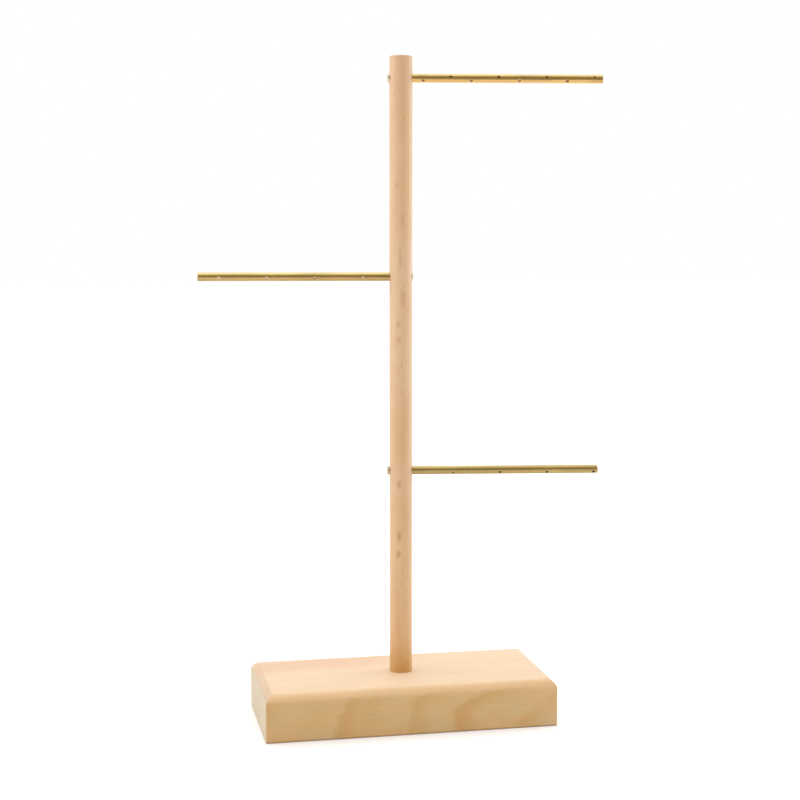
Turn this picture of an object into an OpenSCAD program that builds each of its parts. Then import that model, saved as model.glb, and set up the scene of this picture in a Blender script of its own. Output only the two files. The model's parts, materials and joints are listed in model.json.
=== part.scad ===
// Counter-top display rack: a wooden base block, a round wooden post and three
// drilled brass rods of one length that are pushed through the post to alternate
// sides. The post is held by one screw and stands turned a little on the base.
// Millimetres. The origin is the centre of the base's underside, +X runs along
// the base, +Y goes to the back and +Z is up.

/* [Base block] */
// Length of the block, from side to side
base_l = 206; // [160:1:260]
// Depth of the block, from front to back
base_d = 94; // [70:1:130]
// Height of the block
base_h = 33; // [28:0.5:45]
// Width of the routed face along the four top edges
edge_width = 6; // [2:0.5:10]
// How far the routed face swells past a straight chamfer
edge_swell = 1.2; // [0.3:0.05:1.5]
// Radius that eases the four upright corners
corner_round = 0.8; // [0.3:0.1:2]
// Chamfer that eases the bottom edges
bottom_chamfer = 0.6; // [0.2:0.1:2]

/* [Post] */
// Diameter of the round post
post_dia = 16; // [14:0.5:24]
// Length of the post, with the end that sits in the block
post_len = 450; // [400:1:520]
// Chamfer on both ends of the post
post_chamfer = 0.6; // [0.2:0.1:1.5]
// Turn of the post and its rods away from the length of the block
post_turn = -8.5; // [-45:0.5:45]
// Depth of the socket in the block
socket_depth = 16; // [10:0.5:20]
// Radial gap between the post and its socket
socket_gap = 0.05; // [0.02:0.01:0.1]

/* [Rods] */
// Diameter of the rods
rod_dia = 6; // [5:0.5:8]
// Length of each rod
rod_len = 150; // [140:0.5:180]
// How far the far end of the top rod stands out of the post
top_proud = 1.2; // [0:0.1:6]
// How far the far end of the middle rod stands out of the post
middle_proud = 0.3; // [0:0.1:6]
// How far the far end of the bottom rod stands out of the post
bottom_proud = 1.6; // [0:0.1:6]
// Chamfer on both ends of a rod
rod_chamfer = 0.4; // [0.1:0.05:1]
// Drop from the top of the post to the top rod
top_drop = 15; // [8:0.5:30]
// Drop from one rod to the next
rod_spacing = 137; // [80:0.5:160]
// Radial gap between a rod and its bore in the post
bore_gap = 0.05; // [0.02:0.01:0.1]

/* [Hook holes] */
// Diameter of the hook holes
hook_dia = 1.8; // [1:0.1:2.4]
// Width of the deburred rim round each hook hole
hook_rim = 0.3; // [0.1:0.05:0.4]
// Number of holes in each of a rod's two rows
hook_count = 4; // [2:1:4]
// Distance between the holes of one row
hook_pitch = 33.5; // [20:0.5:34]
// Turn from the first row to the second, about the rod
row_turn = 55; // [30:5:90]
// Distance from the top rod's tip to the first hole of its first row
top_first = 6; // [2.5:0.5:30]
// Distance from the top rod's tip to the first hole of its second row
top_second = 25; // [2.5:0.5:30]
// Distance from the middle rod's tip to the first hole of its first row
middle_first = 14.5; // [2.5:0.5:30]
// Distance from the middle rod's tip to the first hole of its second row
middle_second = 28.5; // [2.5:0.5:30]
// Distance from the bottom rod's tip to the first hole of its first row
bottom_first = 3; // [2.5:0.5:30]
// Distance from the bottom rod's tip to the first hole of its second row
bottom_second = 22; // [2.5:0.5:30]
// Roll of the top rod's first row, up from the front
top_roll = 18; // [-90:1:90]
// Roll of the middle rod's first row, up from the front
middle_roll = -22; // [-90:1:90]
// Roll of the bottom rod's first row, up from the front
bottom_roll = -33; // [-90:1:90]

/* [Post screw] */
// Diameter of the screw's shank
screw_dia = 4.5; // [3.5:0.1:6]
// Length of the screw, from the top of its head to its point
screw_len = 50; // [40:1:70]
// Diameter of the countersunk head
head_dia = 9; // [8:0.1:12]
// Straight rim of the head above its cone
head_rim = 0.5; // [0.2:0.1:1]
// Depth of the head below the underside of the block
head_sink = 1.5; // [0.5:0.1:3]
// Length of the screw's point
point_len = 5; // [3:0.5:8]
// Width of the cross recess in the head
recess_w = 1.1; // [0.8:0.1:1.5]
// Length of the cross recess in the head
recess_l = 4.6; // [3:0.1:5]
// Depth of the cross recess in the head
recess_depth = 1.8; // [1:0.1:2.2]
// Radial gap between the screw and the wood
screw_gap = 0.05; // [0.02:0.01:0.2]
// Depth of the pilot hole past the screw's point
pilot_spare = 2; // [1:0.5:5]

/* [Hidden] */
$fn = 64;
// Overlap past a face that makes a clean cut
cut = 1;
edge_chord = edge_width * sqrt(2);
edge_r = edge_chord * edge_chord / (8 * edge_swell) + edge_swell / 2;
// How far the arc's centre lies from the corner's two faces
edge_centre = (edge_width + (edge_r - edge_swell) * sqrt(2)) / 2;
post_r = post_dia / 2;
post_z = base_h - socket_depth;
post_top = post_z + post_len;
rod_r = rod_dia / 2;
top_z = post_top - top_drop;
middle_z = top_z - rod_spacing;
bottom_z = middle_z - rod_spacing;
rod_heights = [top_z, middle_z, bottom_z];
bore_r = rod_r + bore_gap;
hook_r = hook_dia / 2;
screw_r = screw_dia / 2;
head_r = head_dia / 2;
cone_h = head_r - screw_r;
shank_z = head_sink + head_rim + cone_h;
point_z = head_sink + screw_len;
// Radius of the blunt tip of the screw
point_r = 0.4;
RIGHT = 1;
LEFT = -1;

// What the router takes off a top edge whose corner is at the origin: all that
// lies outside an arc, which meets the two faces in a crisp line
module edge_waste() {
    translate([-edge_centre, -edge_centre])
        difference() {
            square(edge_centre + cut);
            circle(edge_r);
        }
}

// Cross-section of the block: eased at the bottom, routed at the top
module block_section(width) {
    half = width / 2;
    difference() {
        polygon([
            [-half + bottom_chamfer, 0], [half - bottom_chamfer, 0],
            [half, bottom_chamfer], [half, base_h],
            [-half, base_h], [-half, bottom_chamfer]
        ]);
        translate([half, base_h]) edge_waste();
        translate([-half, base_h]) mirror([1, 0]) edge_waste();
    }
}

// Plan of the block, with its upright corners eased
module block_plan() {
    square([base_l, base_d - 2 * corner_round], center = true);
    square([base_l - 2 * corner_round, base_d], center = true);
    for (sx = [LEFT, RIGHT], sy = [LEFT, RIGHT])
        translate([sx * (base_l / 2 - corner_round), sy * (base_d / 2 - corner_round)])
            circle(corner_round);
}

// Revolved outline of the screw, grown by a gap all round and past its point
module screw_outline(gap, spare) {
    rotate_extrude()
        polygon([
            [0, head_sink - gap],
            [head_r + gap, head_sink - gap],
            [head_r + gap, head_sink + head_rim],
            [screw_r + gap, shank_z],
            [screw_r + gap, point_z - point_len + spare],
            [point_r + gap, point_z + spare],
            [0, point_z + spare]
        ]);
}

// Space that the screw takes up in the wood, open to the underside
module screw_hole() {
    screw_outline(screw_gap, pilot_spare);
    translate([0, 0, -cut])
        cylinder(r = head_r + screw_gap, h = head_sink + head_rim + cut);
}

module base_block() {
    color("burlywood")
    difference() {
        intersection() {
            rotate([90, 0, 0])
                linear_extrude(base_d, center = true) block_section(base_l);
            rotate([90, 0, 90])
                linear_extrude(base_l, center = true) block_section(base_d);
            linear_extrude(base_h) block_plan();
        }
        translate([0, 0, post_z])
            cylinder(r = post_r + socket_gap, h = socket_depth + cut);
        screw_hole();
    }
}

module post() {
    color("tan")
    difference() {
        translate([0, 0, post_z])
            rotate_extrude()
                polygon([
                    [0, 0], [post_r - post_chamfer, 0], [post_r, post_chamfer],
                    [post_r, post_len - post_chamfer],
                    [post_r - post_chamfer, post_len], [0, post_len]
                ]);
        for (z = rod_heights)
            translate([0, 0, z]) rotate([0, 90, post_turn])
                cylinder(r = bore_r, h = post_dia + 2 * cut, center = true);
        screw_hole();
    }
}

// One hook hole across the rod, deburred where it comes out on both sides
module hook_hole() {
    cylinder(r = hook_r, h = rod_dia + 2 * cut, center = true);
    for (way = [0, 180])
        rotate([way, 0, 0]) translate([0, 0, rod_r - hook_rim])
            cylinder(r1 = hook_r, r2 = hook_r + hook_rim + cut, h = hook_rim + cut);
}

// A rod through the post at one height: side says which way its free tip points,
// and starts holds how far from the tip each of its two rows of holes begins
module drilled_rod(side, proud, height, starts, roll) {
    tail = post_r + proud;
    reach = rod_len - tail;
    color("goldenrod")
    translate([0, 0, height]) rotate([0, 0, post_turn])
    difference() {
        translate([side == RIGHT ? -tail : -reach, 0, 0]) rotate([0, 90, 0])
            rotate_extrude()
                polygon([
                    [0, 0], [rod_r - rod_chamfer, 0], [rod_r, rod_chamfer],
                    [rod_r, rod_len - rod_chamfer], [rod_r - rod_chamfer, rod_len], [0, rod_len]
                ]);
        for (row = [0, 1], k = [0 : hook_count - 1])
            translate([side * (reach - starts[row] - k * hook_pitch), 0, 0])
                rotate([90 - roll + row * row_turn, 0, 0]) hook_hole();
    }
}

module top_rod() {
    drilled_rod(RIGHT, top_proud, top_z, [top_first, top_second], top_roll);
}

module middle_rod() {
    drilled_rod(LEFT, middle_proud, middle_z, [middle_first, middle_second], middle_roll);
}

module bottom_rod() {
    drilled_rod(RIGHT, bottom_proud, bottom_z, [bottom_first, bottom_second], bottom_roll);
}

module post_screw() {
    color("silver")
    difference() {
        screw_outline(0, 0);
        for (turn = [0, 90])
            rotate([0, 0, turn])
                translate([-recess_l / 2, -recess_w / 2, head_sink - cut])
                    cube([recess_l, recess_w, recess_depth + cut]);
    }
}

base_block();
post();
top_rod();
middle_rod();
bottom_rod();
post_screw();
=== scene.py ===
# %% [markdown]
# # A counter-top display rack in wood and brass
#
# The rack is a block of pale softwood, a beech dowel and three drilled brass
# rods. Its shapes are already exact in the packed model, so this lesson is about
# the other half of a good render: a camera that stands where the photographer
# stood, soft studio light, and wood and metal that are described by what they
# are, growth rings and drawn lines, and not by painted pictures.

# %% Load the packed rack
import json
import math

import bpy
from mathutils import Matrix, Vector


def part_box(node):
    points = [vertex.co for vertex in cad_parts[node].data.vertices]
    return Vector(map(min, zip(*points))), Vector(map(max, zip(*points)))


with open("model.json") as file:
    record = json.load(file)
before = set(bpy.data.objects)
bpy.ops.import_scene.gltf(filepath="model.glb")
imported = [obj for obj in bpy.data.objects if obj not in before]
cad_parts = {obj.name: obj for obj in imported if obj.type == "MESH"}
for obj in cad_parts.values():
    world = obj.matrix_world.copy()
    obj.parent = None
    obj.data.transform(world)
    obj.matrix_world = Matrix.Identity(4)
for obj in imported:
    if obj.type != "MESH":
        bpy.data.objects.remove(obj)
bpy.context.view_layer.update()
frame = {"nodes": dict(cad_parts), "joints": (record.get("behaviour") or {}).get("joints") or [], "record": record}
print("nodes:", sorted(frame["nodes"]))

# %% [markdown]
# ## Sizes
#
# The corners of the block and the post could be typed in, but then a change to
# the part would leave the looks behind. So they are read from the packed model.
# The shaders work in millimetres, because grain, pores and drawn lines are easiest
# to think of in that unit.

# %% Measure the pieces
MM = 0.001
block_low, block_high = (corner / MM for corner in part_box("base_block"))
post_low, post_high = (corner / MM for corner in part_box("post"))
post_radius = (post_high.x - post_low.x) / 2
print("block, mm:", [round(side, 1) for side in block_high - block_low])
print("post, mm:", round(2 * post_radius, 1), "across, top at", round(post_high.z, 1))

# %% [markdown]
# ## The camera
#
# The photograph was taken with a long lens, a little above the middle of the
# rack and a little to its left. A camera could be placed by eye. Here the place,
# the two angles and the focal length come from fitting the block's corners, the
# post and the rods to the picture, so the render can be laid over it.

# %% Place the camera
camera_place = Vector((-0.2196, -1.0802, 0.3398))
camera_pan = math.radians(11.460)
camera_tilt = math.radians(5.786)
focal_length = 70.57
sensor_width = 36
bpy.ops.object.select_all(action="DESELECT")
bpy.ops.object.camera_add(
    location=camera_place,
    rotation=(math.pi / 2 - camera_tilt, 0, -camera_pan),
)
camera = bpy.context.object
camera.name = "studio_camera"
camera.data.sensor_width = sensor_width
camera.data.lens = focal_length
bpy.context.scene.camera = camera
bpy.context.scene.view_settings.view_transform = "Standard"
print("camera at", [round(part, 3) for part in camera_place])

# %% [markdown]
# ## Writing shaders as sums
#
# Node trees can be drawn by hand, but long ones are easier to read as arithmetic.
# A Wire is one output socket: a sign between two wires adds a Math node, and the
# one method `node` adds any other node, first its settings and then the values or
# links of its sockets.

# %% A wire between shader nodes
class Wire:
    """An output socket of a node tree that can stand in a sum."""

    def __init__(self, socket):
        self.socket = socket

    def node(self, kind, settings=None, inputs=None, output=0):
        """Adds a node to this wire's tree and returns one of its outputs."""
        tree = self.socket.id_data
        made = tree.nodes.new(kind)
        for name, value in (settings or {}).items():
            setattr(made, name, value)
        for key, value in (inputs or {}).items():
            socket = find_socket(made.inputs, key)
            if isinstance(value, Wire):
                tree.links.new(value.socket, socket)
            else:
                socket.default_value = value
        return Wire(find_socket(made.outputs, output))

    def math(self, operation, *values):
        """A Math node on the given values, which are wires or numbers."""
        return self.node("ShaderNodeMath", {"operation": operation}, dict(enumerate(values)))

    def __add__(self, other):
        return self.math("ADD", self, other)

    __radd__ = __add__

    def __sub__(self, other):
        return self.math("SUBTRACT", self, other)

    def __rsub__(self, other):
        return self.math("SUBTRACT", other, self)

    def __mul__(self, other):
        return self.math("MULTIPLY", self, other)

    __rmul__ = __mul__

    def __pow__(self, other):
        return self.math("POWER", self, other)

    def __abs__(self):
        return self.math("ABSOLUTE", self)

    def axes(self):
        """This vector's x, y and z as three wires."""
        split = self.node("ShaderNodeSeparateXYZ", inputs={0: self})
        return [Wire(socket) for socket in split.socket.node.outputs]


def find_socket(sockets, key):
    """The socket with that number, identifier or name."""
    if isinstance(key, int):
        return sockets[key]
    return next((socket for socket in sockets if socket.identifier == key), None) or sockets[key]


def feed(shader, **wires):
    """Links wires to a shader's sockets; Base_Color stands for Base Color."""
    for name, wire in wires.items():
        shader.id_data.links.new(wire.socket, shader.inputs[name.replace("_", " ")])


print("a wire knows:", [name for name in vars(Wire) if not name.startswith("_")])

# %% [markdown]
# A few patterns are used again and again: soft noise that is stretched along
# the fibres, a smooth step from 0 to 1, and a length measured along a direction
# or from the origin. A seed moves a noise to a place of its own, so that no two
# patterns of one piece are alike.

# %% Patterns that every finish uses
seed_shifts = (1.0, 2.7, -1.3)


def noise(place, lumps, detail, seed=0.0):
    """Soft noise from 0 to 1; lumps says how many fit in a millimetre on each axis."""
    moved = place.node(
        "ShaderNodeVectorMath", {"operation": "MULTIPLY_ADD"},
        {0: place, 1: lumps, 2: [seed * shift for shift in seed_shifts]},
    )
    return place.node("ShaderNodeTexNoise", inputs={"Vector": moved, "Scale": 1.0, "Detail": detail})


def step(value, low, high):
    """0 below low, 1 above high and smooth between them."""
    return value.node(
        "ShaderNodeMapRange", {"interpolation_type": "SMOOTHSTEP"},
        {"Value": value, "From Min": low, "From Max": high},
    )


def measured(place, direction):
    """How far a point lies along a direction, or how much a normal points that way."""
    return place.node(
        "ShaderNodeVectorMath", {"operation": "DOT_PRODUCT"}, {0: place, 1: direction}, output="Value"
    )


def distance(place):
    """How far a point lies from the origin."""
    return place.node("ShaderNodeVectorMath", {"operation": "LENGTH"}, {0: place}, output="Value")


def joined(x, y, z):
    """A place made of three wires."""
    return x.node("ShaderNodeCombineXYZ", inputs={0: x, 1: y, 2: z})


print("patterns: noise, step, measured, distance, joined")

# %% [markdown]
# Colours are built up as a finisher does it: a base, and then layers that cover
# it or tint it. Each layer has a name, a way of blending, a share that says where
# and how much it shows, and a tone. One after another they make the whole colour,
# and each can be found and changed by its name.

# %% Colours in layers
def colour(red, green, blue):
    """A colour as a shader takes it."""
    return (red, green, blue, 1.0)


def mixed(share, first, second, way="MIX"):
    """The first colour where share is 0, and the second, blended that way, where it is 1."""
    return share.node(
        "ShaderNodeMix", {"data_type": "RGBA", "blend_type": way},
        {"Factor_Float": share, "A_Color": first, "B_Color": second}, output="Result_Color",
    )


def tinted(share, first, second):
    """The first colour multiplied by the second, as far as share says."""
    return mixed(share, first, second, "MULTIPLY")


def layered(base, layers):
    """A base colour with its named layers on it, in their order."""
    for blend, share, tone in layers.values():
        base = blend(share, base, tone)
    return base


print("ways to lay a colour on another: mixed, tinted")

# %% [markdown]
# ## The studio
#
# The picture was taken in soft light on white: bright from above and from both
# sides, and darker on the side where the camera stands. A white floor and a white
# world do most of that. More light would make them white too, but it would bleach
# the wood. So only rays that the camera or a shiny surface sends out see the full
# white, and the lamps still set how bright the wood is. The floor glows less close
# to the rack, which leaves the rack its soft shadow.

# %% White world
ambient_strength = 0.7


def seen_directly(tree):
    """1 for rays from the camera, a mirror or glass, and 0 for rays that only light things."""
    path = tree.nodes.new("ShaderNodeLightPath").outputs
    seen = Wire(path["Is Camera Ray"])
    for name in ("Is Glossy Ray", "Is Transmission Ray"):
        seen = seen.math("MAXIMUM", seen, Wire(path[name]))
    return seen


world = bpy.context.scene.world or bpy.data.worlds.new("white_studio")
bpy.context.scene.world = world
world.use_nodes = True
background = world.node_tree.nodes["Background"]
background.inputs["Color"].default_value = colour(1, 1, 1)
seen = seen_directly(world.node_tree)
feed(background, Strength=seen + (1 - seen) * ambient_strength)
print("the world is white to the camera, and lights with", ambient_strength)

# %% White floor
floor_size = 24.0
floor_drop = 0.0001
floor_tone = colour(0.84, 0.84, 0.84)
floor_glow = 0.58
shadow_glow = 0.24
shadow_reach = (0.14, 0.55)


def matt_paint(name, tone):
    """A new material of one colour with no gloss, and its shader."""
    paint = bpy.data.materials.new(name)
    paint.use_nodes = True
    shader = paint.node_tree.nodes["Principled BSDF"]
    shader.inputs["Base Color"].default_value = tone
    shader.inputs["Specular IOR Level"].default_value = 0.0
    return paint, shader


bpy.ops.object.select_all(action="DESELECT")
bpy.ops.mesh.primitive_plane_add(size=floor_size, location=(0, 0, -floor_drop))
floor = bpy.context.object
floor.name = "studio_floor"
floor_paint, shader = matt_paint("floor_white", floor_tone)
shader.inputs["Roughness"].default_value = 0.9
shader.inputs["Emission Strength"].default_value = floor_glow
seen = seen_directly(floor_paint.node_tree)
place = Wire(floor_paint.node_tree.nodes.new("ShaderNodeTexCoord").outputs["Object"])
dimmed = (1 - step(distance(place), *shadow_reach)) * (1 - shadow_glow / floor_glow)
feed(shader, Emission_Color=mixed(seen * (1 - dimmed), colour(0, 0, 0), colour(1, 1, 1)))
floor.data.materials.append(floor_paint)
print("the floor glows with", floor_glow, "and close to the rack with", shadow_glow)

# %% [markdown]
# Three soft panels light the rack: a wide one overhead and a little behind, and
# one at each side. A picture of a studio could do this too, but panels can be moved
# and explained one by one.

# %% Lamps
aim = Vector((0, 0, 0.22))
panels = {
    "overhead_panel": {"place": (-0.15, 0.35, 1.55), "size": 2.0, "watts": 13.0},
    "left_panel": {"place": (-1.25, 0.15, 0.55), "size": 0.9, "watts": 3.0},
    "right_panel": {"place": (1.25, 0.25, 0.55), "size": 0.9, "watts": 5.2},
}
for name, panel in panels.items():
    lamp_place = Vector(panel["place"])
    bpy.ops.object.light_add(type="AREA", location=lamp_place)
    lamp = bpy.context.object
    lamp.name = name
    lamp.rotation_euler = (aim - lamp_place).to_track_quat("-Z", "Y").to_euler()
    lamp.data.size = panel["size"]
    lamp.data.energy = panel["watts"]
print("lamps, watts:", {name: panel["watts"] for name, panel in panels.items()})

# %% [markdown]
# A warm grey flag stands on the camera's side. Only reflections see it: it gives
# the brass the brown line along its middle that a photographer looks for, and it
# keeps a white veil off the front of the wood.

# %% The flag
flag_size = 1.7
flag_place = (0, -0.8, flag_size / 2)
flag_tone = colour(0.405, 0.332, 0.246)
bpy.ops.object.select_all(action="DESELECT")
bpy.ops.mesh.primitive_plane_add(
    size=flag_size, location=flag_place, rotation=(math.pi / 2, 0, 0)
)
flag = bpy.context.object
flag.name = "warm_flag"
flag.visible_camera = False
flag.visible_diffuse = False
flag.visible_shadow = False
flag_cloth, _ = matt_paint("flag_cloth", flag_tone)
flag.data.materials.append(flag_cloth)
print("the flag is", flag_size, "m wide and stands at", list(flag.location))

# %% [markdown]
# ## Starting a finish
#
# Each finish reads the place of a point on the rack, in millimetres, and the way
# its surface faces. The rack's pieces all sit at the origin, so one solid pattern
# runs through a piece, and the top, the front and the end of the block agree. A
# flat picture on each face would break at the edges.

# %% A new finish and where it goes
def new_finish(name):
    """A new material, its shader, the place of a point in millimetres and its normal."""
    material = bpy.data.materials.new(name)
    material.use_nodes = True
    nodes = material.node_tree.nodes
    place = Wire(nodes.new("ShaderNodeTexCoord").outputs["Object"])
    place = place.node(
        "ShaderNodeVectorMath", {"operation": "SCALE"}, {"Vector": place, "Scale": 1 / MM}
    )
    normal = Wire(nodes.new("ShaderNodeNewGeometry").outputs["Normal"])
    return material, nodes["Principled BSDF"], place, normal


def relief(height, depth, strength):
    """A surface normal for a height from 0 to 1 that stands depth millimetres deep."""
    return height.node(
        "ShaderNodeBump", inputs={"Height": height, "Distance": depth * MM, "Strength": strength}
    )


def dress(node, material):
    """Gives a piece its finish."""
    piece = frame["nodes"][node]
    piece.data.materials.clear()
    piece.data.materials.append(material)
    print(node, "wears", material.name)


# %% [markdown]
# ## The softwood block
#
# The block is sawn from a pale softwood, and its growth rings lie like sheets,
# almost along its front face. A front that cuts them at such a slant shows broad
# dark bands that start steep at the bottom and sweep to the right as they rise.
# The top and the ends cut the same sheets square, so they show fine quiet lines.
# The bands could be painted on the front alone, but then the other faces would
# not follow. So one number, the ring that a point lies in, serves every face: it
# is written as the place where that ring would meet the bottom of the front, along
# x. Rings far below zero come out at the back.

# %% The growth rings of the block
lean_middle = 0.12
lean_change = 0.005
knee_sweep = 1.6
knee_height = 24.0
knee_fall = 0.22
knee_bend = 4.0
sheet_step = 6.0
drift_reach = 10.0
fray_reach = 7.0
ring_rise = 6.0
ring_fade = 18.0
dark_rings = {
    -640: 0.7, -575: 0.5, -530: 0.9,
    -118: 0.45, -54: 0.62, -38: 0.30, -2: 0.5, 32: 0.76, 79: 0.5,
}


def height_above_knee(place):
    """How far a point lies above the line where the rings on the front begin to sweep."""
    x, _, z = place.axes()
    return z + x * knee_fall - knee_height


def ring_number(place):
    """Where a point's growth ring meets the bottom of the front face, along x, in millimetres."""
    x, y, z = place.axes()
    above = height_above_knee(place)
    bent = (above + (above ** 2 + knee_bend ** 2) ** 0.5) * 0.5
    drift = (noise(place, (0.018, 0.03, 0.06), detail=1.0) - 0.5) * drift_reach
    frayed = (noise(place, (0.05, 0.5, 0.6), detail=3.0, seed=3.0) - 0.5) * fray_reach
    behind = y - block_low.y
    lean = lean_middle - x * lean_change
    return x - z * lean - bent * knee_sweep - behind * sheet_step + drift + frayed


def ring_darkness(ring):
    """How dark the broad rings are: a quick rise on one side and a slow fade on the other."""
    total = 0
    for middle, weight in dark_rings.items():
        band = step(ring, middle - ring_rise, middle) - step(ring, middle, middle + ring_fade)
        total = band * weight + total
    return total


print("broad rings meet the bottom of the front at", list(dark_rings), "mm")

# %% [markdown]
# The edges of the block get painted light and shade. Just past the edge that the
# router's cutter left, the faces get a slight painted highlight, which lifts the dim
# lower part of the slope. The slope behind that edge is more golden along the fibres
# and gets painted shade across the end grain, and the bottom edges get a painted
# contact shadow. The height of the router's line is read from the front of the
# block: it is the highest point that still lies in the flat front face.

# %% Where the router's cutter met the front
flat_within = 0.01
router_line = max(
    vertex.co.z / MM for vertex in frame["nodes"]["base_block"].data.vertices
    if abs(vertex.co.y / MM - block_low.y) < flat_within
)
print("the flat front ends at", round(router_line, 2), "mm")

# %% [markdown]
# Each mask below runs from 0 to 1. The first ones say which way a face looks, from
# how squarely it faces an axis: 1 is square on. The slope that the cutter left
# across the end grain gets painted shade, strong at the front and faint at the back.

# %% Faces of the block
end_slope_shade_fades = (-20, 38)
softwood, shader, place, normal = new_finish("sanded_softwood")
x, y, z = place.axes()
facing_x, facing_y, facing_z = (abs(part) for part in normal.axes())
front_share = step(facing_y, 0.86, 0.995)
end_share = step(facing_x, 0.75, 0.99)
routed_long = step(facing_y, 0.22, 0.70) * (1 - step(facing_y, 0.90, 0.99))
# Painted shade on the slope across the end grain, strong at the front and faint at the back.
shaded_end_slope = step(facing_x, 0.30, 0.45) * step(facing_z, 0.30, 0.45)
shaded_end_slope = shaded_end_slope * (1 - step(y, *end_slope_shade_fades) * 0.85)
print("masks of the block's faces use", len(softwood.node_tree.nodes), "nodes")

# %% [markdown]
# The next masks follow the growth rings and the fibres. The fibres run along x, so
# their noise has few lumps along x and many across it. Resin ducts are the short
# dark lines of softwood, and they don't show on the ends. Near the bottom of the
# front the wood between the rings is paler in places.

# %% Grain of the block
rings_pale_above_knee = (2.0, 16.0)
pale_low_fades = (10, 26)
ring = ring_number(place)
past_knee = step(height_above_knee(place), *rings_pale_above_knee)
broad = ring_darkness(ring) * (1 - past_knee * 0.25)
quiet = noise(joined(ring, x * 0.05, z * 0.3), (0.07, 0.3, 0.3), detail=3.0, seed=4.0)
fibres = noise(place, (0.014, 0.5, 0.5), detail=3.0, seed=1.0)
hairs = noise(place, (0.06, 2.8, 2.8), detail=2.0, seed=2.0)
clouds = noise(place, (0.010, 0.045, 0.05), detail=2.0, seed=5.0)
ducts = step(noise(place, (0.16, 2.6, 2.6), detail=0.0, seed=7.0), 0.70, 0.78) * (1 - end_share)
pale_low = step(noise(place, (0.025, 0.08, 0.08), detail=2.0, seed=11.0), 0.42, 0.60)
pale_low = pale_low * (1 - step(z, *pale_low_fades) * 0.7) * (1 - broad)
print("with the grain they use", len(softwood.node_tree.nodes), "nodes")

# %% [markdown]
# The last masks are marks at a place of their own. The front is paler towards its
# right end, and the top is more golden along its front. A reddish blush lies along
# the back of the top, at the left. It wavers with the clouds of the wood, so that
# its edge isn't a ruled line. The painted highlight at the router's edge and the
# painted contact shadow on the bottom edges come last. Spans are in millimetres.

# %% Marks of the block
pale_right_span = (76, 96)
golden_span = (5, 26)
blush_middle = 41
blush_slant = 0.08
blush_waver = 16
blush_span = (6, 24)
blush_fades = (-50, 60)
router_highlight_drop = 0.4
router_highlight_span = (0.4, 2.6)
router_highlight_grows = (-60, 40)
contact_shadow_span = (0.4, 1.4)
pale_right = step(x, *pale_right_span) * front_share
behind_front = y - block_low.y
golden_rim = (1 - step(behind_front, *golden_span)) * (1 - front_share) * (1 - end_share)
from_blush = abs(y - x * blush_slant - blush_middle + clouds * blush_waver)
blush = (1 - step(from_blush, *blush_span)) * (1 - step(x, *blush_fades))
blush = blush * (1 - front_share) * (1 - end_share * 0.85)
# Painted highlight along the router's edge, which lifts the dim lower part of the slope and the top of the front.
from_router_line = abs(z - router_line + router_highlight_drop)
painted_router_highlight = (1 - step(from_router_line, *router_highlight_span)) * (0.3 + fibres * 0.9)
painted_router_highlight = painted_router_highlight * (0.2 + step(x, *router_highlight_grows) * 0.8)
# Painted contact shadow along the bottom edges.
painted_contact_shadow = (1 - step(z, *contact_shadow_span)) * (1 - step(facing_z, 0.75, 0.99) * 0.8)
print("with the marks they use", len(softwood.node_tree.nodes), "nodes")

# %% [markdown]
# Now the layers go on: first the tone of each face, then the rings and the fibres,
# and last the marks, with the painted light and shade at the edges. The relief is
# only a twentieth of a millimetre deep, enough to break up the gloss of the lacquer.

# %% The finish of the block
top_tone = colour(0.872, 0.666, 0.464)
front_tone = colour(0.765, 0.495, 0.228)
front_pale = colour(0.735, 0.513, 0.255)
end_tone = colour(0.72, 0.602, 0.425)
block_layers = {
    "front": (mixed, front_share, mixed(pale_low, front_tone, front_pale)),
    "ends": (mixed, end_share, end_tone),
    "broad rings": (tinted, broad * (0.10 + front_share * 0.75), colour(0.85, 0.73, 0.53)),
    "blush": (tinted, blush, colour(0.94, 0.86, 0.87)),
    "quiet rings": (tinted, step(quiet, 0.35, 0.75) * 0.30, colour(0.90, 0.83, 0.72)),
    "fibres": (tinted, step(fibres, 0.35, 0.75) * 0.22, colour(0.92, 0.84, 0.74)),
    "hairs": (tinted, step(hairs, 0.45, 0.80) * 0.16, colour(0.86, 0.78, 0.68)),
    "clouds": (tinted, step(clouds, 0.40, 0.70) * 0.45, colour(0.97, 0.91, 0.87)),
    "resin ducts": (tinted, ducts * 0.20, colour(0.66, 0.50, 0.36)),
    "pale right end": (tinted, pale_right, colour(1.05, 1.05, 1.14)),
    "golden rim": (tinted, golden_rim, colour(1.0, 0.985, 0.925)),
    "slope along the fibres": (tinted, routed_long, colour(0.975, 0.868, 0.72)),
    # painted shade on the slope across the end grain
    "painted shade on the slope across the fibres": (tinted, shaded_end_slope, colour(0.86, 0.83, 0.82)),
    # painted highlight at the router's edge
    "painted highlight at the router's edge": (tinted, painted_router_highlight, colour(1.04, 1.04, 1.07)),
    # painted contact shadow along the bottom edges
    "painted contact shadow": (tinted, painted_contact_shadow, colour(0.62, 0.52, 0.44)),
}
grain_height = hairs * 0.5 + fibres * 0.3 - ducts * 0.6 - quiet * 0.3
feed(
    shader,
    Base_Color=layered(top_tone, block_layers),
    Roughness=0.50 + hairs * 0.12 + broad * 0.05,
    Normal=relief(grain_height, depth=0.05, strength=0.6),
)
shader.inputs["Specular IOR Level"].default_value = 0.35
dress("base_block", softwood)

# %% [markdown]
# ## The beech post
#
# The post is a turned dowel. Beech has hardly any figure, but it is full of
# short brown flecks, where the rays of the tree show on the surface, and fine
# pores. Both follow the fibres, which run up the post, and the small flecks come
# from noise and gather in patches. A few flecks are large and dark enough to be
# listed one by one: each has a height on the post, an angle from its front, a
# stretch along the fibres and a depth of tone. They are soft balls that the surface
# cuts, so they need no mesh of their own.

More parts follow.
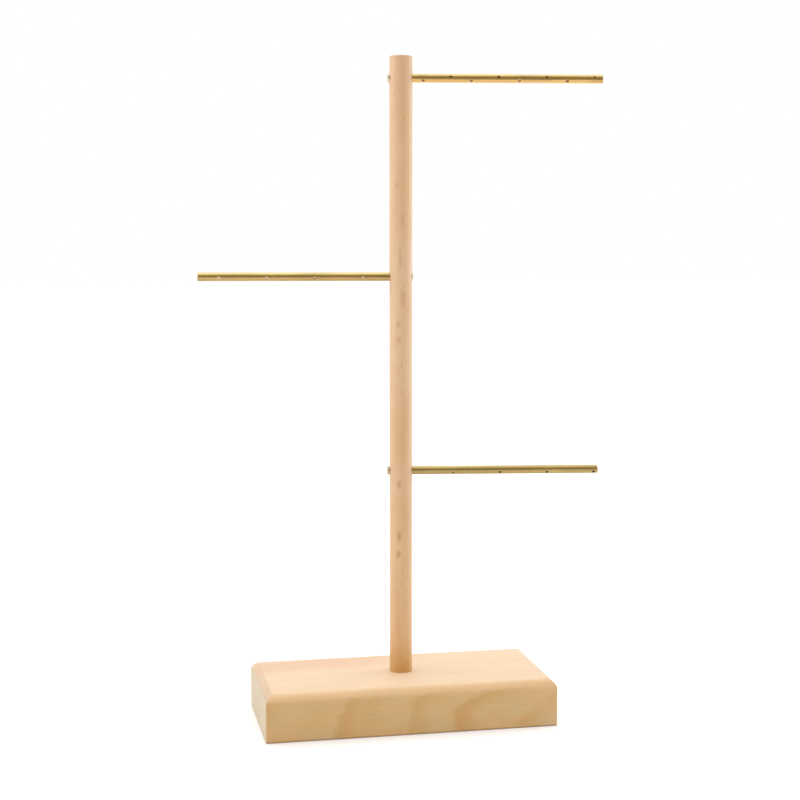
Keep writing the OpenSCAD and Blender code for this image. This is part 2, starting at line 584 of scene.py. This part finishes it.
# %% The dark flecks of the post
dark_flecks = {
    378: (-33, 1.5, 0.7), 354: (-3, 3.5, 0.6), 328: (-14, 4.5, 0.7),
    300: (0, 3.5, 0.6), 282: (-25, 1.5, 0.9), 271: (-23, 1.5, 1.0),
    169: (-22, 1.8, 1.2), 132: (-21, 2.6, 1.3), 119: (-23, 1.6, 1.3),
}
fleck_radius = 2.7
fleck_fray = 1.4


def fleck_marks(place, hairs):
    """How dark the few large flecks are; the hairs of the wood fray their edges."""
    total = 0
    fray = (hairs - 0.5) * fleck_fray
    for height, (angle, stretch, depth) in dark_flecks.items():
        turn = math.radians(angle)
        middle = Vector((post_radius * math.sin(turn), -post_radius * math.cos(turn), height))
        squeeze = Vector((1, 1, 1 / stretch))
        from_middle = place.node(
            "ShaderNodeVectorMath", {"operation": "MULTIPLY_ADD"},
            {0: place, 1: squeeze, 2: -middle * squeeze},
        )
        total = (1 - step(distance(from_middle) + fray, 0, fleck_radius)) * depth + total
    return total


print("large flecks at", list(dark_flecks), "mm")

# %% [markdown]
# The grain of the post comes from noise that is stretched along its height. The
# growth rings stand in upright sheets, which wander a little on their way up. The
# flat top shows end grain and no flecks.

# %% Grain of the post
beech, shader, place, normal = new_finish("beech_dowel")
x, y, z = place.axes()
facing_right, _, facing_up = normal.axes()
end_share = step(abs(facing_up), 0.6, 0.95)
wander = (noise(place, (0.10, 0.10, 0.006), detail=2.0) - 0.5) * 5.0
across = x * 0.80 + y * 0.60 + z * 0.010 + wander
rings = noise(joined(across, x * 0.02, z * 0.004), (0.45, 1.0, 1.0), detail=2.0, seed=3.0)
fibres = noise(place, (1.3, 1.3, 0.02), detail=3.0, seed=1.0)
hairs = noise(place, (5.0, 5.0, 0.10), detail=1.0, seed=4.0)
clouds = noise(place, (0.05, 0.05, 0.020), detail=2.0, seed=6.0)
patches = step(noise(place, (0.16, 0.16, 0.045), detail=1.0, seed=8.0), 0.45, 0.65)
flecks = step(noise(place, (2.0, 2.0, 0.30), detail=0.0, seed=9.0), 0.60, 0.72) * (1 - end_share)
pores = step(noise(place, (7.0, 7.0, 0.9), detail=0.0, seed=12.0), 0.70, 0.78)
marks = fleck_marks(place, hairs) * (1 - end_share)
print("masks of the post's grain use", len(beech.node_tree.nodes), "nodes")

# %% [markdown]
# The rest lies at a place on the post. Its upper edge is darker, and its sides get
# painted light, paler than its front, most of all on the right. It gets painted
# shade lower down, and at its foot a deeper, more orange tone that is partly painted
# warm bounce light from the block and partly the finish. The edge and the foot are
# found from the boxes of the post and the block.

# %% Marks of the post
top_darkening_starts = post_high.z - 1.6
top_darkening_full = post_high.z - 0.4
low_shade_fades = (60, 330)
foot_starts = block_high.z - 4
foot_ends = block_high.z + 34
# Painted light on the sides of the post, most of all on the right.
painted_light_sides = step(0 - facing_right, 0.55, 1.0) * 0.20 + step(facing_right, 0.25, 0.85) * 0.33
# Darker towards the upper edge of the post.
darker_top_edge = step(z, top_darkening_starts, top_darkening_full) * (1 - end_share)
# Painted shade lower down the post.
painted_shade_low = 1 - step(z, *low_shade_fades)
# At the foot a deeper, more orange tone: partly painted warm bounce light from the block, partly the finish.
foot = 1 - step(z, foot_starts, foot_ends)
print("with the marks they use", len(beech.node_tree.nodes), "nodes")

# %% [markdown]
# The layers of the post follow in the same way. A little sheen stands for the fine
# fuzz of the sanded wood, which lightens its outline.

# %% The finish of the post
beech_tone = colour(0.87, 0.585, 0.350)
beech_deep = colour(0.84, 0.52, 0.283)
post_layers = {
    "clouds": (mixed, step(clouds, 0.3, 0.7), beech_deep),
    "growth rings": (tinted, step(rings, 0.40, 0.70) * 0.35, colour(0.92, 0.82, 0.70)),
    "fibres": (tinted, step(fibres, 0.35, 0.75) * 0.22, colour(0.90, 0.80, 0.70)),
    "hairs": (tinted, step(hairs, 0.45, 0.85) * 0.12, colour(0.84, 0.74, 0.62)),
    "small flecks": (tinted, flecks * (0.08 + patches * 0.32), colour(0.76, 0.58, 0.46)),
    "large flecks": (tinted, marks * 0.55, colour(0.74, 0.53, 0.38)),
    "pores": (tinted, pores * 0.18, colour(0.70, 0.54, 0.40)),
    "end grain": (tinted, end_share * 0.6, colour(0.88, 0.78, 0.66)),
    # painted light on the sides
    "painted light on the sides": (mixed, painted_light_sides, colour(0.84, 0.665, 0.49)),
    # darker towards the upper edge
    "darker top edge": (tinted, darker_top_edge, colour(0.86, 0.83, 0.84)),
    # painted shade lower down
    "painted shade low down": (tinted, painted_shade_low, colour(0.94, 0.90, 0.835)),
    # painted bounce light and deeper tone at the foot
    "foot": (tinted, foot, colour(0.80, 0.71, 0.38)),
}
grain_height = hairs * 0.5 + fibres * 0.3 - pores * 0.5 - flecks * 0.2
feed(
    shader,
    Base_Color=layered(beech_tone, post_layers),
    Roughness=0.46 + hairs * 0.12 + flecks * 0.05,
    Normal=relief(grain_height, depth=0.04, strength=0.6),
)
shader.inputs["Specular IOR Level"].default_value = 0.5
shader.inputs["Sheen Weight"].default_value = 0.12
shader.inputs["Sheen Roughness"].default_value = 0.4
dress("post", beech)

# %% [markdown]
# ## The brass rods
#
# Drawn brass has very fine lines along its length, left by the die, and a thin
# uneven tarnish. The holes are real in the model, and their walls are rougher or
# smoother; in colour a dull wall gets painted shade, a dark dot, and a bright one
# gets painted light, a pale dot. Faces round the holes could get a metal of their
# own, but the mesh stays as it is, so the shader works out how far a point is from
# the nearest hole.
# The rods stand at a small angle to the block, so the finish is laid out along
# each rod's own axis, which its joint gives. The places of the holes are read from
# the record, so each rod's finish follows its own drilling.

# %% Where each rod runs and where it is drilled
rod_axes = {joint["child"]: Vector(joint["axis"]) for joint in frame["joints"]}
mounts = frame["record"]["mounts"]
hole_radius = next(mount["dims"]["hole_r_mm"] for mount in mounts if "hole_r_mm" in mount["dims"])


def hole_rows(rod):
    """The two hole rows of a rod: the middle of the row, the pitch and the way the holes point."""
    rows = []
    for mount in mounts:
        if mount["name"].startswith(rod) and mount["name"].endswith("inner_holes"):
            middle = Vector(mount["pos_m"]) / MM
            rows.append((middle, mount["dims"]["pcd_mm"], Vector(mount["axis"])))
    return rows


def nearest_hole(place, axis, row, glosses_and_lights):
    """How far a point is from the nearest hole's axis, and the gloss and painted light of its wall."""
    middle, pitch, way = row
    across = axis.cross(way)
    from_middle = measured(place, axis) - middle.dot(axis)
    along = abs(abs(abs(from_middle) - pitch) - pitch / 2)
    aside = measured(place, across) - middle.dot(across)
    gloss_and_light = glosses_and_lights[0]
    for number, border in enumerate((pitch, 0, -pitch)):
        past_border = step(border - from_middle, 0, 1)
        gloss_and_light = past_border * (glosses_and_lights[number + 1] - glosses_and_lights[number]) + gloss_and_light
    return (along ** 2 + aside ** 2) ** 0.5, gloss_and_light


for rod, axis in rod_axes.items():
    print(rod, "rows are centred at", [round(row[0].dot(axis), 1) for row in hole_rows(rod)], "mm")

# %% [markdown]
# The three rods differ. The bottom one is the dullest, and each has its own
# painted reflection tint above and below. The short tails behind the post look
# pale, and the cut ends are darker and show the marks of the saw. In the
# photograph the holes of the middle rod look pale, as if light came through them, so
# their walls get the brightest painted light. The gloss and painted light of the
# holes are listed row by row, and in each row from the tip to the post.

# %% What sets the rods apart
rod_looks = {
    "top_rod": {
        "dullness": 0.2,
        "tail_greying": 0.75,
        "upper_painted_reflection": colour(0.79, 0.81, 0.85),
        "lower_painted_reflection": colour(1.10, 0.97, 1.04),
        "hole_gloss_and_light": ((0.2, 0.1, 0.08, 0.1), (0.5, 0.95, 0.7, 0.55)),
    },
    "middle_rod": {
        "dullness": 0.35,
        "tail_greying": 0.6,
        "upper_painted_reflection": colour(0.92, 0.97, 1.04),
        "lower_painted_reflection": colour(0.85, 0.78, 0.94),
        "hole_gloss_and_light": ((1.0, 0.95, 0.65, 0.9), (0.8, 0.8, 0.8, 0.8)),
    },
    "bottom_rod": {
        "dullness": 0.9,
        "tail_greying": 0.4,
        "upper_painted_reflection": colour(0.96, 0.96, 1.00),
        "lower_painted_reflection": colour(1.04, 1.02, 1.14),
        "hole_gloss_and_light": ((0.35, 0.65, 0.4, 1.0), (0.5, 0.5, 0.5, 0.5)),
    },
}
print("dullness:", {rod: look["dullness"] for rod, look in rod_looks.items()})

# %% [markdown]
# One function makes the brass of a rod from its look. Colour and roughness share
# their masks, because a place that is tarnished, sawn or greyed at the tail is also
# less smooth. The holes come last, row by row: a rim that was deburred, rougher and
# with a painted highlight, and a wall that is dull with painted shade or bright with
# painted light.

# %% The finish of the rods
up = Vector((0, 0, 1))
bright_brass = colour(0.635, 0.46, 0.165)
dull_brass = colour(0.445, 0.335, 0.125)
tail_starts = -post_radius + 0.5
tail_full = -post_radius - 0.1
rim_width = 0.35
rim_softness = 0.2


def drawn_brass(rod, look):
    """The brass of one rod, with its own holes."""
    material, shader, place, normal = new_finish("drawn_brass_" + rod)
    axis = rod_axes[rod]
    along = measured(place, axis)
    place_on_rod = joined(along, measured(place, up.cross(axis)), measured(place, up))
    end_share = step(abs(measured(normal, axis)), 0.5, 0.9)
    under = 1 - step(measured(normal, up), -0.5, 0.5)
    # The tail behind the post is greyed towards a pale tone and made rougher.
    tail = (1 - step(along, tail_full, tail_starts)) * look["tail_greying"]
    lines = noise(place_on_rod, (0.03, 9.0, 9.0), detail=2.0, seed=1.0)
    tarnish = noise(place_on_rod, (0.04, 0.25, 0.25), detail=3.0, seed=2.0)
    saw_marks = noise(place_on_rod, (2.0, 1.2, 6.0), detail=1.0, seed=3.0)
    tarnished = step(tarnish + (look["dullness"] - 0.5) * 0.5, 0.30, 0.70)
    metal = layered(bright_brass, {
        "tarnish": (mixed, tarnished, dull_brass),
        "drawn lines": (tinted, step(lines, 0.40, 0.80) * 0.25, colour(0.80, 0.74, 0.62)),
        # Painted reflection tints on the upper and lower halves of the rod.
        "painted reflection on the upper half": (tinted, 1 - under, look["upper_painted_reflection"]),
        "painted reflection on the lower half": (tinted, under, look["lower_painted_reflection"]),
        "tail": (mixed, tail, colour(0.78, 0.70, 0.62)),
        "cut ends": (tinted, end_share * (0.45 + saw_marks * 0.3), colour(0.50, 0.38, 0.26)),
    })
    satin = 0.20 + 0.14 * look["dullness"]
    roughness = satin + lines * 0.12 + tarnish * 0.08 + end_share * 0.25 + tail * 0.3
    # Each hole: a deburred rim, rougher with a painted highlight, and a wall with painted shade where dull and
    # painted light where bright.
    for row, glosses_and_lights in zip(hole_rows(rod), look["hole_gloss_and_light"]):
        gap, gloss_and_light = nearest_hole(place, axis, row, glosses_and_lights)
        rim_edge = hole_radius + rim_width * (1 + 0.6 * gloss_and_light)
        wall = 1 - step(gap, hole_radius + 0.05, hole_radius + 0.25)
        rim = (1 - step(gap, rim_edge, rim_edge + rim_softness)) * (1 - wall)
        metal = layered(metal, {
            # painted highlight on the rim, painted shade or painted light in the hole
            "painted highlight on the rim": (mixed, rim * 0.7 * gloss_and_light, colour(0.82, 0.65, 0.39)),
            "painted shade in the hole": (tinted, wall * (1 - gloss_and_light), colour(0.56, 0.46, 0.24)),
            "painted light in the hole": (mixed, wall * gloss_and_light, colour(0.62, 0.47, 0.27)),
        })
        roughness = roughness + wall * (0.3 - 0.4 * gloss_and_light) + rim * 0.3 * gloss_and_light
    height = lines * 0.6 + saw_marks * end_share
    feed(
        shader, Base_Color=metal, Roughness=roughness,
        Normal=relief(height, depth=0.01, strength=0.5),
    )
    shader.inputs["Metallic"].default_value = 1.0
    return material


for rod, look in rod_looks.items():
    dress(rod, drawn_brass(rod, look))

# %% [markdown]
# ## The screw
#
# The screw shows only from below, sunk in the middle of the block. It is zinc
# plated: a pale metal with a cool and slightly uneven sheen, and round marks
# from the machine that formed its head. A plain grey would do from afar, but the
# marks are cheap: a sine of the distance from the screw's axis, shaken by noise.

# %% The finish of the screw
circle_rate = 18
circle_shake = 4
zinc, shader, place, _ = new_finish("zinc_plate")
x, y, _ = place.axes()
radius = (x ** 2 + y ** 2) ** 0.5
shake = noise(place, (0.3, 0.3, 0.3), detail=2.0, seed=1.0)
circles = radius.math("SINE", radius * circle_rate + shake * circle_shake) * 0.5 + 0.5
patches = noise(place, (0.5, 0.5, 0.5), detail=3.0, seed=2.0)
feed(
    shader,
    Base_Color=mixed(patches, colour(0.66, 0.66, 0.67), colour(0.54, 0.54, 0.52)),
    Roughness=0.32 + patches * 0.18,
    Normal=relief(circles * 0.4 + patches * 0.3, depth=0.02, strength=0.5),
)
shader.inputs["Metallic"].default_value = 1.0
dress("post_screw", zinc)

# %% [markdown]
# ## Sizes at the end
#
# Nothing here changes the part's size.
